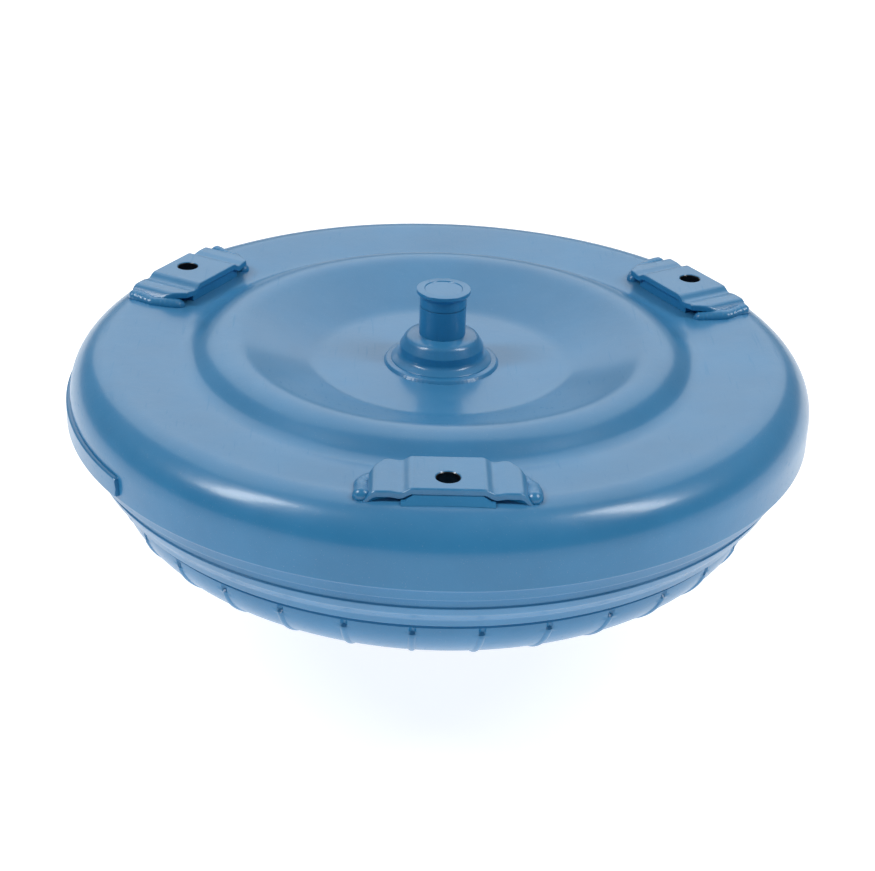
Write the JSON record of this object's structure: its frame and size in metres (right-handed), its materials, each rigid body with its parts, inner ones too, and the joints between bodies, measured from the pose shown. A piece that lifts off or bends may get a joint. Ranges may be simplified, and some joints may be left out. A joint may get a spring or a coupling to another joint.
{
  "type": "torque converter",
  "caption": "Welded lock-up torque converter: domed cover with crankshaft pilot and flexplate lugs, turbine, stator, clutch and damper inside, pump drive hub below.",
  "frame": {"origin": "centre of the pump hub's end face, on the rotation axis", "axes": "+Z along the rotation axis towards the crankshaft pilot, -Y through one flexplate lug"},
  "size_m": [0.2584, 0.257, 0.1293],
  "materials": {
    "paint": "semi-gloss blue paint",
    "steel": "machined and pressed steel",
    "dark_steel": "hardened steel",
    "aluminium": "die-cast aluminium",
    "brass": "stamped brass",
    "friction_paper": "grooved friction paper",
    "seal_polymer": "moulded sealing polymer"
  },
  "bodies": {
    "housing": {"front_cover": "paint", "crankshaft_pilot": "paint", "pilot_weld": "paint", "lug_straps": "paint", "lug_nuts": "paint", "lug_welds": "paint", "seam_weld": "paint", "balance_weight": "paint", "impeller_shell": "paint", "impeller_vanes": "steel", "impeller_core": "steel", "pump_hub": "steel", "hub_flange": "steel", "hub_weld": "paint", "hub_bearing_lower_race": "steel"},
    "turbine": {"turbine_shell": "steel", "turbine_vanes": "steel", "turbine_core": "steel", "turbine_hub": "dark_steel", "hub_rivets": "dark_steel", "damper_plate": "steel", "piston_seal": "seal_polymer", "cover_thrust_washer": "seal_polymer", "turbine_bearing_upper_race": "steel"},
    "damper": {"spring_retainer": "steel", "damper_springs": "dark_steel"},
    "piston": {"lockup_piston": "steel", "friction_lining": "friction_paper"},
    "stator": {"stator_wheel": "aluminium", "clutch_cam": "dark_steel", "clutch_rollers": "steel", "clutch_springs": "steel", "stator_cap": "steel", "turbine_bearing_lower_race": "steel", "hub_bearing_upper_race": "steel"},
    "inner_race": {"clutch_inner_race": "dark_steel"},
    "turbine_bearing": {"turbine_bearing_cage": "brass", "turbine_bearing_needles": "steel"},
    "hub_bearing": {"hub_bearing_cage": "brass", "hub_bearing_needles": "steel"}
  },
  "joints": [
    {"name": "turbine_spin", "type": "hinge", "parent": "housing", "child": "turbine", "pos_m": [0, 0, 0.081], "axis": [0, 0, 1], "continuous": true},
    {"name": "damper_twist", "type": "hinge", "parent": "turbine", "child": "damper", "pos_m": [0, 0, 0.0905], "axis": [0, 0, 1], "range_deg": [-6, 6], "stiffness_Nm_per_rad": 30, "deforming": ["damper_springs"]},
    {"name": "piston_slide", "type": "slide", "parent": "damper", "child": "piston", "axis": [0, 0, 1], "range_m": [0, 0.0011]},
    {"name": "stator_spin", "type": "hinge", "parent": "housing", "child": "stator", "pos_m": [0, 0, 0.062], "axis": [0, 0, 1], "continuous": true},
    {"name": "race_spin", "type": "hinge", "parent": "housing", "child": "inner_race", "pos_m": [0, 0, 0.062], "axis": [0, 0, 1], "continuous": true},
    {"name": "turbine_bearing_roll", "type": "hinge", "parent": "housing", "child": "turbine_bearing", "pos_m": [0, 0, 0.07], "axis": [0, 0, 1], "continuous": true},
    {"name": "hub_bearing_roll", "type": "hinge", "parent": "housing", "child": "hub_bearing", "pos_m": [0, 0, 0.053], "axis": [0, 0, 1], "continuous": true}
  ],
  "couplings": [
    {"joint": "turbine_bearing_roll", "follows": "turbine_spin", "ratio": 0.5},
    {"joint": "hub_bearing_roll", "follows": "stator_spin", "ratio": 0.5}
  ]
}
